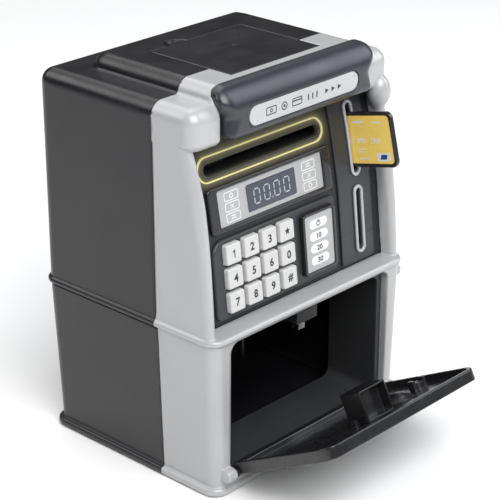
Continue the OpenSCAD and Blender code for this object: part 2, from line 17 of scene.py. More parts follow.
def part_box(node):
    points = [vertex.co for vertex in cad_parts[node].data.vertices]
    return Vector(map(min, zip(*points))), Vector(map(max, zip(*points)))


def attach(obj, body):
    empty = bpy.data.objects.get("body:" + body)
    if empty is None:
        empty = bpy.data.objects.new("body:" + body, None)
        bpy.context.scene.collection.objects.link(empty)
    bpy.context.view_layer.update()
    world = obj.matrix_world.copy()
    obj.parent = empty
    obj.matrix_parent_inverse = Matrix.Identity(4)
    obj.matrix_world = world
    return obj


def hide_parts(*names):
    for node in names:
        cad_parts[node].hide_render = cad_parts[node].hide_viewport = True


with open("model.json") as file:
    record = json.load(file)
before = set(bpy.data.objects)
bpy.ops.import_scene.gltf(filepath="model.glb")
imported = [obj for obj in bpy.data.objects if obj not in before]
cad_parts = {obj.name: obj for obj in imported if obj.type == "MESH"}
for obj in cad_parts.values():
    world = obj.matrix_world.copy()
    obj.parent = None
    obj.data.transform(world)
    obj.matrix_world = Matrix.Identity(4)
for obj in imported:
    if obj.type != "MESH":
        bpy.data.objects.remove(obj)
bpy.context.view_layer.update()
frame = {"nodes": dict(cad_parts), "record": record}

MM = 0.001
SLOT_OF = {part["node"]: part["material_slot"] for part in frame["record"]["subparts"]}
BODY_OF = {n: b for b, names in frame["record"]["behaviour"]["bodies"].items() for n in names}


def cad_box(node):
    """Lowest and highest corner of a CAD node, in millimetres."""
    lo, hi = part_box(node)
    return np.array(lo) / MM, np.array(hi) / MM


# ---------------- main sizes: those of the frame, then places and angles of the CAD

SHELL_LO, SHELL_HI = cad_box("upper_shell")
VISOR_LO, VISOR_HI = cad_box("visor")
FOOT_LO, FOOT_HI = cad_box("lower_shell")
LINER_LO, LINER_HI = cad_box("vault_liner")
WAIST = SHELL_HI[0]  # half width over the waist bead
HALF = WAIST - 1.5  # half width of the keypad unit
BACK = SHELL_HI[1] - 1.5  # back wall of the keypad unit
WAIST_Z = SHELL_LO[2]
FLANGE = 3.5  # thickness of the waist flange
SHELF_Y = cad_box("front_frame")[0][1]  # front of the waist shelf
DECK_Z = SHELL_HI[2]
SHOULDER_Z = DECK_Z - 7
LID_BED_Z = DECK_Z - 4  # floor of the opening under the lid
SEAM_Y = SHELL_LO[1]  # parting plane of light frame and dark shell
LOW_SEAM_Y = FOOT_LO[1]
AHEAD = -120.0  # well in front of the toy, for forms that are cut off later
ROUND = 7.0  # corner radius of both housings
BEAD_ROUND = 8.5  # corner radius of the beads at waist and foot
WALL = 2.4
GAP = 0.06  # half of a parting line
LID_HALF = 31.7  # half width of the opening under the lid
FASCIA_HALF = HALF - 4.2  # half width of the pocket that takes the fascia
HINGE_Y, HINGE_Z = -60.5, 11.5
LUG_IN, LUG_OUT, LUG_R = 58.7, 64.8, 3.2
DOOR_OPEN = math.radians(62.5)
DOOR_HALF = 57.2
DISH_X, KNOB_X, GRIP_H = 25.0, 43.0, 38.0  # finger dish and knob on the door, and their height
CARD_TILT = math.radians(13.5)
CARD_X, CARD_Y, CARD_Z = 46.8, -73.5, 143.55  # lower outer corner of the card
CARD_LEN, CARD_H = 45.0, 28.2
CARD_SLOT, CARD_RIM = (134.8, 167.9), (133.0, 169.8)  # heights of the slot and of its rim
COIN_SLOT, COIN_RIM = (94.2, 124.8), (92.5, 126.6)
NOTE_X, NOTE_V = -15.4, 8.2  # centre of the banknote slot on the top fascia plane
RING_GROW = 3.5  # the light ring runs this far outside the banknote slot
KEY_U, KEY_V = -46.4, 10.1  # centre of the lowest key in the left column
KEY_PITCH = (12.45, 12.0)
KEY_HOLE = 5.45  # half width of the hole around a key
LABEL_Z = 186.1  # middle height of the visor's label

# ---------------- distance field tools


def both(a, b, r=0.0):
    """Intersection, its edge rounded to radius r."""
    a, b = a + r, b + r
    out = np.sqrt(np.maximum(a, 0) ** 2 + np.maximum(b, 0) ** 2)
    return out + np.minimum(np.maximum(a, b), 0) - r


def either(a, b, r=0.0):
    """Union, its inner corner filled to radius r."""
    return -both(-a, -b, r)


def cut(a, b, r=0.0):
    """a without b, the rim rounded to radius r."""
    return both(a, -b, r)


def box2(u, v, hu, hv, r=0.0):
    """Rectangle with round corners, centred on the origin."""
    return both(np.abs(u) - hu, np.abs(v) - hv, r)


def rect2(u, v, u0, v0, u1, v1, r=0.0):
    """Rectangle with round corners, from corner to corner."""
    return box2(u - (u0 + u1) / 2, v - (v0 + v1) / 2, (u1 - u0) / 2, (v1 - v0) / 2, r)


def slab(w, lo, hi):
    """Layer between two values of one coordinate."""
    return np.abs(w - (lo + hi) / 2) - (hi - lo) / 2


def rod2(u, v, cu, cv, r):
    """Round bar seen end on."""
    return np.hypot(u - cu, v - cv) - r


def ball(dx, dy, dz, r):
    """Sphere, from the distances to its centre."""
    return np.sqrt(dx ** 2 + dy ** 2 + dz ** 2) - r


def leaning(y, z, y0, z0, lean):
    """Height up and distance out of a plane through (y0, z0) that leans back by an angle."""
    s, c = math.sin(lean), math.cos(lean)
    return (y - y0) * s + (z - z0) * c, -(y - y0) * c + (z - z0) * s


# the fascia's three planes, from the bottom: how far each leans back, then its foot (y, z)
LEANS = [math.atan(4.5 / 43), math.atan(4.4 / 24), math.atan(6.2 / 25)]
PLANES = [(-49.6, 86.0, LEANS[0]), (-45.1, 129.0, LEANS[1]), (-40.7, 153.0, LEANS[2])]


def on_plane(i, y, z):
    """(v, w) on fascia plane i: v up the face, w out of it."""
    return leaning(y, z, *PLANES[i])


def blend_max(a, b, k):
    """Greater of two nearly equal distances, softened where they differ by less than k."""
    return np.maximum(a, b) + np.maximum(k - np.abs(a - b), 0) ** 2 / (4 * k)


def fascia_out(y, z):
    """Distance in front of the fascia, which bends softly over its three planes."""
    w = [on_plane(i, y, z)[1] for i in range(3)]
    return blend_max(w[0], blend_max(w[1], w[2], 0.4), 0.4)


def stadium(u, v, half_long, half_wide):
    """Slot shape with round ends, centred on the origin."""
    return box2(u, v, half_long, half_wide, half_wide - 0.02)


def door_frame(y, z):
    """(through the door, up the door) around the hinge."""
    s, c = math.sin(DOOR_OPEN), math.cos(DOOR_OPEN)
    return (y - HINGE_Y) * c + (z - HINGE_Z) * s, -(y - HINGE_Y) * s + (z - HINGE_Z) * c


def card_frame(y, z):
    """(along the card, up the card)."""
    s, c = math.sin(CARD_TILT), math.cos(CARD_TILT)
    return (y - CARD_Y) * c - (z - CARD_Z) * s, (y - CARD_Y) * s + (z - CARD_Z) * c


# ---------------- from field to mesh

BLOCK = 8  # grid points along a block
BATCH = 1200  # blocks worked out together


def sample(field, lo, hi, h):
    """Dense grid of the field, worked out only in the blocks near its surface."""
    lo = np.array(lo, float) - 3 * h
    count = np.ceil((np.array(hi, float) + 3 * h - lo) / (BLOCK * h)).astype(int)
    band = 3 * h
    middle = [lo[i] + (np.arange(count[i]) + 0.5) * BLOCK * h for i in range(3)]
    near = field(*np.meshgrid(*middle, indexing="ij"))
    # half the diagonal of a block, with some to spare
    reach = BLOCK * h * 0.5 * math.sqrt(3) * 1.15 + h
    dense = np.empty((count[0], BLOCK, count[1], BLOCK, count[2], BLOCK), np.float32)
    dense[:] = np.where(near < 0, -band, band)[:, None, :, None, :, None]
    active = np.argwhere(np.abs(near) < reach)
    step = np.arange(BLOCK) * h
    for start in range(0, len(active), BATCH):
        part = active[start:start + BATCH]
        x, y, z = [lo[i] + part[:, i, None] * BLOCK * h + step for i in range(3)]
        values = field(x[:, :, None, None], y[:, None, :, None], z[:, None, None, :])
        values = np.broadcast_to(np.clip(values, -band, band), (len(part),) + (BLOCK,) * 3)
        dense[part[:, 0], :, part[:, 1], :, part[:, 2], :] = values
    return lo, band, dense.reshape(count * BLOCK)


def gradient(field, p, e=0.03):
    """Slope of the field at points p, by central differences."""
    g = np.empty_like(p)
    for i in range(3):
        d = np.zeros(3)
        d[i] = e
        g[:, i] = field(*(p + d).T) - field(*(p - d).T)
    return g / (2 * e)


def mesh_from(name, points, faces, normals):
    """A mesh from millimetre points and arrays of triangles and quads."""
    mesh = bpy.data.meshes.new(name)
    faces = [f for f in faces if len(f)]
    loops = np.concatenate([f.ravel() for f in faces]).astype(np.int32)
    sizes = np.concatenate([np.full(len(f), f.shape[1], np.int32) for f in faces])
    mesh.vertices.add(len(points))
    mesh.vertices.foreach_set("co", (points * MM).astype(np.float32).ravel())
    mesh.loops.add(len(loops))
    mesh.loops.foreach_set("vertex_index", loops)
    mesh.polygons.add(len(sizes))
    starts = np.concatenate([[0], np.cumsum(sizes)[:-1]]).astype(np.int32)
    mesh.polygons.foreach_set("loop_start", starts)
    mesh.update(calc_edges=True)
    mesh.validate()
    mesh.normals_split_custom_set_from_vertices(normals.tolist())
    return mesh


def field_mesh(name, field, lo, hi, h, adapt=0.02):
    """Mesh of the field's surface: points pulled onto it, normals from its slope."""
    lo, band, dense = sample(field, lo, hi, h)
    grid = openvdb.FloatGrid(band)
    grid.copyFromArray(dense)
    points, tris, quads = grid.convertToPolygons(isovalue=0.0, adaptivity=adapt)
    p = lo + points.astype(float) * h
    for _ in range(3):
        g = gradient(field, p)
        f = field(*p.T) / np.maximum((g ** 2).sum(1), 0.2)
        p -= g * np.clip(f, -h, h)[:, None]
    n = gradient(field, p, 0.06)
    n /= np.linalg.norm(n, axis=1, keepdims=True) + 1e-9
    faces = [np.asarray(a, np.int64) for a in (tris, quads)]
    some = (faces[1] if len(faces[1]) else faces[0])[:2000]
    a, b, c = (p[some[:, i]] for i in range(3))
    if (np.cross(b - a, c - a) * n[some[:, 0]]).sum() < 0:
        faces = [f[:, ::-1] for f in faces]
    return mesh_from(name, p, faces, n)


def add_piece(name, mesh, node, material=None, stands_for_it=True):
    """One shown piece: it rides with a CAD node, has that node's slot, and may stand for it."""
    obj = bpy.data.objects.new(name, mesh)
    bpy.context.scene.collection.objects.link(obj)
    mesh.materials.append(material or LOOK[SLOT_OF[node]])
    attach(obj, BODY_OF[node])
    if stands_for_it:
        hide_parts(node)
    return obj


def mould(node, field, h, material=None):
    """A moulded piece that stands for a CAD node and fills its box; h is the grid step."""
    lo, hi = cad_box(node)
    add_piece(node + "_look", field_mesh(node + "_look", field, lo, hi, h), node, material)


# ---------------- small flat shapes


def round_loop(u0, v0, u1, v1, r, steps=6):
    """Outline of a rectangle with round corners, anticlockwise."""
    corners = [(u1 - r, v1 - r, 0), (u0 + r, v1 - r, 90),
               (u0 + r, v0 + r, 180), (u1 - r, v0 + r, 270)]
    turns = [(cu, cv, math.radians(a + 90 * k / steps))
             for cu, cv, a in corners for k in range(steps + 1)]
    return [(cu + r * math.cos(a), cv + r * math.sin(a)) for cu, cv, a in turns]


def block_loop(u, v, hu, hv, r, steps=6):
    """Outline of a rectangle with round corners around the point (u, v)."""
    return round_loop(u - hu, v - hv, u + hu, v + hv, r, steps)


def circle_loop(u, v, r, n=24):
    angles = [2 * math.pi * k / n for k in range(n)]
    return [(u + r * math.cos(a), v + r * math.sin(a)) for a in angles]


def star_loop(u, v, r):
    """Outline of a five-pointed star that stands on two of its points."""
    loop = []
    for k in range(10):
        reach = r if k % 2 == 0 else r * 0.42
        angle = math.pi / 2 + math.pi * k / 5
        loop.append((u + reach * math.cos(angle), v + reach * math.sin(angle)))
    return loop


def shrink(loop, by):
    """The loop drawn towards its middle by a distance in each direction."""
    pts = np.array(loop)
    mid = (pts.min(0) + pts.max(0)) / 2
    half = (pts.max(0) - pts.min(0)) / 2
    return [tuple(q) for q in mid + (pts - mid) * (1 - by / half)]


def prism(loop, w0, w1, edge=0.0):
    """Closed prism over a loop, with a small chamfer on its top edge."""
    n = len(loop)
    rings = [(loop, w0), (loop, w1 - edge)]
    if edge:
        rings.append((shrink(loop, edge), w1))
    verts = [(u, v, w) for pts, w in rings for u, v in pts]
    faces = [tuple(reversed(range(n)))]
    top = (len(rings) - 1) * n
    for k in range(0, top, n):
        faces += [(k + i, k + (i + 1) % n, k + n + (i + 1) % n, k + n + i) for i in range(n)]
    faces.append(tuple(range(top, top + n)))
    return verts, faces


def ring(outer, inner, w0, w1):
    """Closed flat ring between two loops with the same number of points."""
    n = len(outer)
    loops = ((outer, w0), (outer, w1), (inner, w1), (inner, w0))
    verts = [(u, v, w) for pts, w in loops for u, v in pts]
    faces = [(k * n + i, k * n + (i + 1) % n, (k + 1) % 4 * n + (i + 1) % n, (k + 1) % 4 * n + i)
             for k in range(4) for i in range(n)]
    return verts, faces


def flat_piece(name, parts, place, node, ink=None):
    """Joins small prisms and rings, put in place by a function (u, v, w) -> (x, y, z).

    With an ink it is a print on the CAD node, without one it stands for that node.
    """
    verts, faces = [], []
    for part_verts, part_faces in parts:
        faces += [tuple(i + len(verts) for i in f) for f in part_faces]
        verts += part_verts
    mesh = bpy.data.meshes.new(name)
    mesh.from_pydata([Vector(place(*v)) * MM for v in verts], [], faces)
    add_piece(name, mesh, node, ink, stands_for_it=ink is None)


def plane_place(i):
    """Puts (u, v, w) on fascia plane i."""
    y0, z0, lean = PLANES[i]
    s, c = math.sin(lean), math.cos(lean)
    return lambda u, v, w: (u, y0 + v * s - w * c, z0 + v * c + w * s)


def one_loop(u, v):
    """Outline of the figure 1."""
    corners = ((0.02, -2.0), (0.62, -2.0), (0.62, 2.0), (0.16, 2.0),
               (-0.86, 1.15), (-0.86, 0.55), (0.02, 1.1))
    return [(u + du, v + dv) for du, dv in corners]


def turned(part, u, v):
    """A flat part turned half round about (u, v)."""
    verts, faces = part
    return [(2 * u - x, 2 * v - y, z) for x, y, z in verts], faces


def text_parts(text, size, u, v, w, bold, wide):
    """Generic figures as one flat part around (u, v, w), made bolder and wider by two factors."""
    curve = bpy.data.curves.new("figure", "FONT")
    curve.body = text
    curve.size = size
    curve.extrude = 0.025
    curve.offset = bold * size
    curve.align_x = curve.align_y = "CENTER"
    obj = bpy.data.objects.new("figure", curve)
    mesh = bpy.data.meshes.new_from_object(obj)
    co = np.array([p.co for p in mesh.vertices]).reshape(-1, 3)
    mid = (co.min(0) + co.max(0)) / 2
    verts = [((x - mid[0]) * wide + u, y - mid[1] + v, z + w) for x, y, z in co]
    faces = [tuple(p.vertices) for p in mesh.polygons]
    bpy.data.meshes.remove(mesh)
    bpy.data.objects.remove(obj)
    bpy.data.curves.remove(curve)
    return verts, faces


# ---------------- materials


class Look:
    """A material with short ways to add and join nodes."""

    def __init__(self, name, roughness, metallic=0.0, coat=0.0, coat_rough=0.1, specular=0.5):
        self.name = name
        self.material = bpy.data.materials.new(name)
        self.material.use_nodes = True
        self.tree = self.material.node_tree
        self.bsdf = self.tree.nodes["Principled BSDF"]
        self.set("Roughness", roughness)
        self.set("Metallic", metallic)
        self.set("Coat Weight", coat)
        self.set("Coat Roughness", coat_rough)
        self.set("Specular IOR Level", specular)
        self.coords = self.node("TexCoord", {}).outputs["Object"]
        self.bump = None

    def feed(self, socket, value):
        """Gives an input a number, a vector, a colour, or another node's output."""
        if isinstance(value, bpy.types.NodeSocket):
            self.tree.links.new(value, socket)
        else:
            socket.default_value = (*value, 1.0) if socket.type == "RGBA" else value

    def set(self, name, value):
        self.feed(self.bsdf.inputs[name], value)

    def node(self, kind, inputs, **settings):
        """A new shader node with its settings and what its inputs get."""
        node = self.tree.nodes.new("ShaderNode" + kind)
        for key, value in settings.items():
            setattr(node, key, value)
        for key, value in inputs.items():
            self.feed(node.inputs[key], value)
        return node

    def noise(self, scale, detail, stretch=None):
        """Noise in object space; scale in cycles per metre, stretch slows it along an axis."""
        source = self.coords
        if stretch:
            source = self.node("Mapping", {"Vector": source, "Scale": stretch}).outputs["Vector"]
        return self.node("TexNoise", {"Vector": source, "Scale": scale, "Detail": detail,
                                      "Roughness": 0.55}).outputs["Fac"]

    def spread(self, value, lo, hi, out_lo=0.0, out_hi=1.0):
        """Stretches the range lo..hi to out_lo..out_hi, clamped."""
        return self.node("MapRange", {"Value": value, "From Min": lo, "From Max": hi,
                                      "To Min": out_lo, "To Max": out_hi}).outputs["Result"]

    def math(self, kind, a, b):
        return self.node("Math", {0: a, 1: b}, operation=kind).outputs[0]

    def mix(self, factor, a, b):
        """Colour a where factor is 0, b where it is 1."""
        return self.node("Mix", {0: factor, 6: a, 7: b}, data_type="RGBA").outputs[2]

    def dot(self, a, b):
        node = self.node("VectorMath", {0: a, 1: b}, operation="DOT_PRODUCT")
        return node.outputs["Value"]

    def sheen(self, scale, lo, hi):
        """Roughness that wanders between two values."""
        self.set("Roughness", self.spread(self.noise(scale, 2), 0.3, 0.7, lo, hi))

    def relief(self, height, strength, distance):
        """Adds a bump layer; distance in millimetres."""
        inputs = {"Strength": strength, "Distance": distance * MM, "Height": height}
        if self.bump is not None:
            inputs["Normal"] = self.bump
        self.bump = self.node("Bump", inputs).outputs["Normal"]
        self.set("Normal", self.bump)

    def edges(self, radius):
        """1 on rounded outer and inner edges, 0 on flat faces."""
        bevel = self.node("Bevel", {"Radius": radius * MM}, samples=4)
        normal = self.node("NewGeometry", {}).outputs["Normal"]
        return self.spread(self.dot(bevel.outputs["Normal"], normal), 1.0, 2 / 3)


def plastic(name, colour, roughness, grain=0.3, shift=0.10, wear_and_highlight=0.25, scratches=0.25, waves=0.10,
            **options):
    """Moulded plastic: spark-eroded grain, soft patchiness, hairline scratches, rubbed edges, and
    a painted edge highlight where the edge lightening is strong.
    """
    look = Look(name, roughness, **options)
    patches = look.noise(55, 4)
    flow = look.noise(16, 2, stretch=(1.0, 1.0, 0.35))
    tone = look.spread(look.math("ADD", patches, flow), 0.7, 1.3)
    darker = tuple(c * (1 - shift) for c in colour)
    lighter = tuple(min(1.0, c * (1 + shift)) for c in colour)
    base = look.mix(tone, darker, lighter)
    edge = look.edges(0.8)
    # edges lightened: rubbed wear at small amounts, a painted highlight along the edges at large
    # ones
    rubbed_and_lit = look.math("MULTIPLY", edge, look.spread(look.noise(240, 3), 0.4, 0.62, 0.0, wear_and_highlight))
    worn_and_lit_tone = tuple(min(1.0, c * 1.6 + 0.035) for c in colour)
    look.set("Base Color", look.mix(rubbed_and_lit, base, worn_and_lit_tone))
    hair = look.noise(900, 2, stretch=(0.06, 1.0, 0.5))
    hair_lines = look.spread(hair, 0.60, 0.72, 0.0, scratches)
    rough = look.spread(patches, 0.3, 0.7, roughness - 0.05, roughness + 0.06)
    rough = look.math("ADD", rough, hair_lines)
    look.set("Roughness", look.math("ADD", rough, look.math("MULTIPLY", edge, -0.05)))
    look.relief(look.noise(2600, 2), grain, 0.05)
    look.relief(look.noise(60, 2), waves, 0.12)
    return look


def metal(name, colour, roughness, grain):
    """Metal with a faint machining grain along one axis, and dull patches."""
    look = Look(name, roughness, metallic=1.0)
    lines = look.noise(700, 3, stretch=grain)
    tone = look.spread(lines, 0.3, 0.7)
    look.set("Base Color", look.mix(tone, tuple(c * 0.88 for c in colour), colour))
    dull = look.spread(look.noise(90, 3), 0.3, 0.7, roughness - 0.08, roughness + 0.1)
    look.set("Roughness", dull)
    look.relief(lines, 0.15, 0.03)
    return look


def dark_panel_look():
    """Satin dark plastic that also carries the glow thrown by the light ring."""
    look = plastic("dark_panel", (0.013, 0.0133, 0.0150), 0.40, grain=0.14, wear_and_highlight=0.15,
                   scratches=0.10, waves=0.05, specular=0.38)
    glow = look.node("Attribute", {}, attribute_name="glow").outputs["Fac"]
    strength = look.spread(look.noise(150, 2), 0.2, 0.8, 0.13, 0.16)
    look.set("Emission Color", (1.0, 0.88, 0.42))
    look.set("Emission Strength", look.math("MULTIPLY", glow, strength))
    return look


def silver_label_look():
    """Silver foil printed with a fine diamond hatch."""
    look = Look("silver_hatch", 0.32, metallic=0.35, coat=0.3)
    lines = []
    for slope in (1.25, -1.25):
        along = look.dot(look.coords, (1.0, 0.0, slope))
        wave = look.math("SINE", look.math("MULTIPLY", along, 5200.0), 0.0)
        lines.append(look.spread(wave, 0.1, 0.9))
    hatch = look.math("MULTIPLY", lines[0], lines[1])
    patches = look.spread(look.noise(70, 3), 0.38, 0.62, 0.25, 1.0)
    hatch = look.math("MULTIPLY", hatch, patches)
    look.set("Base Color", look.mix(hatch, (0.50, 0.505, 0.52), (0.30, 0.303, 0.315)))
    look.sheen(400, 0.26, 0.42)
    look.relief(hatch, 0.2, 0.03)
    return look


def glow_look():
    """Lit yellow diffuser of the light ring."""
    look = Look("ring_glow", 0.3)
    look.set("Base Color", (0.40, 0.36, 0.18))
    look.set("Emission Color", (1.0, 0.91, 0.42))
    look.set("Emission Strength", look.spread(look.noise(120, 2), 0.3, 0.7, 0.34, 0.42))
    look.sheen(600, 0.25, 0.4)
    return look


def card_gold_look():
    """Gold print with a fine guilloche and a soft sheen across."""
    look = Look("card_gold", 0.34, metallic=0.05, coat=0.3)
    wave = look.node("TexWave", {"Vector": look.coords, "Scale": 260.0, "Distortion": 9.0,
                                 "Detail": 1.0}).outputs["Fac"]
    lines = look.spread(wave, 0.35, 0.65, 0.0, 0.12)
    base = look.mix(look.noise(60, 1), (0.93, 0.64, 0.13), (0.96, 0.69, 0.16))
    look.set("Base Color", look.mix(lines, base, (0.98, 0.78, 0.30)))
    look.sheen(300, 0.28, 0.42)
    look.relief(wave, 0.03, 0.02)
    return look


def cell_look():
    """Printed jacket of a round cell: a blue body with a copper end."""
    look = Look("cell_jacket", 0.28, metallic=0.4, coat=0.5)
    along = look.node("SeparateXYZ", {0: look.coords}).outputs["X"]
    end = look.math("GREATER_THAN", along, 11 * MM)
    tone = look.noise(80, 3)
    blue = look.mix(tone, (0.035, 0.10, 0.20), (0.05, 0.15, 0.28))
    copper = look.mix(tone, (0.55, 0.30, 0.14), (0.70, 0.42, 0.20))
    look.set("Base Color", look.mix(end, blue, copper))
    look.sheen(400, 0.22, 0.36)
    return look


def board_look():
    """Solder mask with faint copper tracks."""
    look = Look("board_green", 0.35, coat=0.3)
    brick = look.node("TexBrick", {"Vector": look.coords, "Scale": 260.0, "Mortar Size": 0.03,
                                   "Color1": (0.02, 0.13, 0.06), "Color2": (0.02, 0.15, 0.07),
                                   "Mortar": (0.06, 0.26, 0.12)})
    look.set("Base Color", look.mix(look.noise(40, 3), brick.outputs["Color"], (0.02, 0.16, 0.08)))
    look.relief(brick.outputs["Fac"], 0.2, 0.03)
    return look


def ink_look(name, colour, roughness):
    """Printed ink with slightly uneven cover."""
    look = Look(name, roughness)
    cover = look.noise(1800, 2)
    look.set("Base Color", look.mix(cover, colour, tuple(c * 0.8 + 0.02 for c in colour)))
    look.set("Roughness", look.spread(cover, 0.3, 0.7, roughness - 0.08, roughness + 0.08))
    return look.material


def screen_look():
    """Dark blue window with faint smudges."""
    look = Look("screen", 0.12, coat=1.0, coat_rough=0.04)
    smudge = look.noise(120, 3, stretch=(1.0, 1.0, 0.4))
    look.set("Base Color", look.mix(smudge, (0.008, 0.012, 0.030), (0.014, 0.020, 0.045)))
    look.set("Roughness", look.spread(smudge, 0.35, 0.7, 0.08, 0.24))
    return look


SLOT_LOOKS = [
    plastic("dark_shell", (0.0088, 0.0088, 0.0112), 0.32, grain=0.14, wear_and_highlight=0.10, scratches=0.07,
            waves=0.04, specular=0.54),
    plastic("light_frame", (0.425, 0.428, 0.435), 0.34, grain=0.12, shift=0.03,
            wear_and_highlight=0.10, scratches=0.08, metallic=0.10, coat=0.35, coat_rough=0.26),
    dark_panel_look(),
    plastic("door_plastic", (0.013, 0.013, 0.0145), 0.27, grain=0.03, shift=0.02,
            wear_and_highlight=0.07, scratches=0.04, waves=0.01, coat=0.2, coat_rough=0.18),
    plastic("visor_gloss", (0.010, 0.0135, 0.021), 0.40, grain=0.03, wear_and_highlight=0.10,
            scratches=0.06, waves=0.02, specular=0.7, coat=0.25, coat_rough=0.32),
    plastic("silver_trim", (0.40, 0.402, 0.41), 0.34, grain=0.10, shift=0.03, wear_and_highlight=0.10,
            metallic=0.2),
    glow_look(),
    screen_look(),
    plastic("key_cap", (0.55, 0.55, 0.545), 0.42, grain=0.15, shift=0.02, wear_and_highlight=0.05,
            scratches=0.08),
    plastic("rubber_dark", (0.030, 0.030, 0.032), 0.75, grain=0.5, wear_and_highlight=0.4, specular=0.25),
    board_look(),
    metal("steel", (0.56, 0.57, 0.58), 0.30, grain=(0.05, 1.0, 1.0)),
    metal("spring_steel", (0.72, 0.72, 0.73), 0.18, grain=(1.0, 0.05, 1.0)),
    cell_look(),
    plastic("gear_plastic", (0.68, 0.68, 0.62), 0.45, grain=0.15, shift=0.03),
    metal("brass", (0.72, 0.53, 0.22), 0.25, grain=(0.05, 1.0, 1.0)),
    plastic("card_frame", (0.016, 0.016, 0.018), 0.22, grain=0.05, coat=0.4),
    card_gold_look(),
    plastic("speaker_black", (0.045, 0.045, 0.047), 0.7, grain=0.4),
]
LOOK = {look.name: look.material for look in SLOT_LOOKS}

# shades within a slot
SILVER_HATCH = silver_label_look().material
KEYPAD_SLATE = plastic("keypad_slate", (0.027, 0.028, 0.032), 0.36, grain=0.16, wear_and_highlight=0.30).material
# the lid's edge lightening is so strong that it paints a light highlight line along its rounded
# edges
LID_DARK = plastic("lid_dark", (0.0095, 0.0097, 0.0115), 0.32, grain=0.14, wear_and_highlight=2.6,
                   scratches=0.07, waves=0.04, specular=0.68).material
BEZEL_GLOSS = plastic("bezel_gloss", (0.009, 0.009, 0.0105), 0.24, grain=0.03, wear_and_highlight=0.12,
                      scratches=0.05, waves=0.02, coat=0.3).material
LINER_GREY = plastic("liner_grey", (0.030, 0.031, 0.033), 0.40, grain=0.20).material
INK_BLACK = ink_look("ink_black", (0.012, 0.012, 0.014), 0.5)
INK_WHITE = ink_look("ink_white", (0.80, 0.80, 0.80), 0.45)
INK_BLUE = ink_look("ink_blue", (0.015, 0.045, 0.22), 0.45)
LCD_GREY = ink_look("lcd_grey", (0.36, 0.40, 0.44), 0.3)

# ---------------- keypad unit shells


def tall_box(x, y, z):
    """Keypad unit up to its shoulders, with soft edges."""
    return both(rect2(x, y, -HALF, AHEAD, HALF, BACK, ROUND), z - SHOULDER_Z, ROUND)


def housing(x, y, z):
    """Outer form of the keypad unit: the tall box with a raised deck."""
    deck = both(rect2(x, y, -53, AHEAD, 53, 41.4, 10.0), z - DECK_Z, 6.8)
    return either(tall_box(x, y, z), deck, 1.6)


def waist_bead(x, y, z, front, back):
    """Flange around the foot of the keypad unit."""
    outline = rect2(x, y, -WAIST, front, WAIST, back, BEAD_ROUND)
    return both(outline, slab(z, WAIST_Z, WAIST_Z + FLANGE), 1.6)


def sound_holes(x, z):
    """Round holes on a square grid, within a circle behind the speaker."""
    pitch, mid_z = 3.6, 140.0
    i, j = np.round(x / pitch), np.round((z - mid_z) / pitch)
    hole = rod2(x, z, i * pitch, mid_z + j * pitch, 0.8)
    return np.where(i * i + j * j < 11, hole, 3.0)


def upper_shell(x, y, z):
    """Dark rear housing, open at the front, with the lid's opening and its finger scoop."""
    form = housing(x, y, z)
    outer = either(form, waist_bead(x, y, z, AHEAD, SHELL_HI[1]), 0.7)
    shell = cut(outer, form + WALL)
    shell = both(shell, SEAM_Y + GAP - y, 0.30)
    shell = both(shell, WAIST_Z - z, 0.2)
    bay = rect2(x, y, -LID_HALF, -60, LID_HALF, 19.3, 1.2)
    shell = cut(shell, both(bay, LID_BED_Z - z), 0.25)
    scoop = ball(x + 13, y - 18.5, z - DECK_Z - 5.6, 8.9)
    shell = cut(shell, both(scoop, z - DECK_Z - 2), 0.5)
    return cut(shell, both(sound_holes(x, z), BACK - 6 - y), 0.25)


# front edge of the columns: y at some heights, smoothed
COLUMN_Z = [85, 96, 112, 132, 147, 161, 169, 173.5, 180]
COLUMN_Y = [-58.4, -57.8, -56.3, -54.0, -51.2, -47.7, -45.2, -43.4, -41.0]
COLUMN = np.polynomial.Polynomial.fit(COLUMN_Z, COLUMN_Y, 4)
COLUMN_SLOPE = COLUMN.deriv()


def swelling(x, y, z):
    """Barrel-shaped swelling at the head of the right column."""
    return ball((x - 64.4) / 5.9, (y + 45) / 5.9, (z - 172.2) / 8.5, 1) * 6.2


def front_frame(x, y, z):
    """Light frame: two columns, corner blocks, deck band and waist shelf."""
    ax = np.abs(x)
    form = housing(x, y, z)
    zc = np.clip(z, 82, 180)
    column_front = (COLUMN(zc) - y) / np.sqrt(1 + COLUMN_SLOPE(zc) ** 2)
    column = both(form, column_front, 6.0)
    reveal = (63.8 + 0.25 * np.maximum(-49 - y, 0) - ax) * 0.97
    column = both(both(column, reveal, 4.4), z - 177)
    right = either(column, swelling(x, y, z), 2.6)
    ear = both(both(both(form, -47 - y, 7.5), 174.3 - z, 4.2), 51 - ax, 2.4)
    out = either(np.where(x > 0, right, column), ear, 0.5)
    band = both(both(form, -40.6 - y, 0.3), 177 - z)
    out = either(out, band, 0.3)
    # hollow under the deck, and the pocket behind the columns for the fascia
    out = cut(out, both(both(form + WALL, -33.4 - y, 1.0), 170 - z), 0.2)
    pocket = both(both(ax - FASCIA_HALF, fascia_out(y, z) - 0.1), z - 178.5)
    out = cut(out, pocket, 0.25)
    # waist shelf, open inside behind its front edge
    out = either(out, waist_bead(x, y, z, SHELF_Y, 90), 0.9)
    well = both(ax - FASCIA_HALF, -48 - y, 0.4)
    out = cut(out, both(well, z - 85.4), 0.3)
    under = both(ax - FASCIA_HALF, -51.8 - y, 0.4)
    out = cut(out, both(under, z - 83.7), 0.3)
    lid_bay = both(both(ax - LID_HALF, -34.3 - y, 0.5), LID_BED_Z - z)
    out = cut(out, lid_bay, 0.2)
    out = both(out, y - SEAM_Y + GAP, 0.30)
    return both(out, WAIST_Z - z, 0.2)


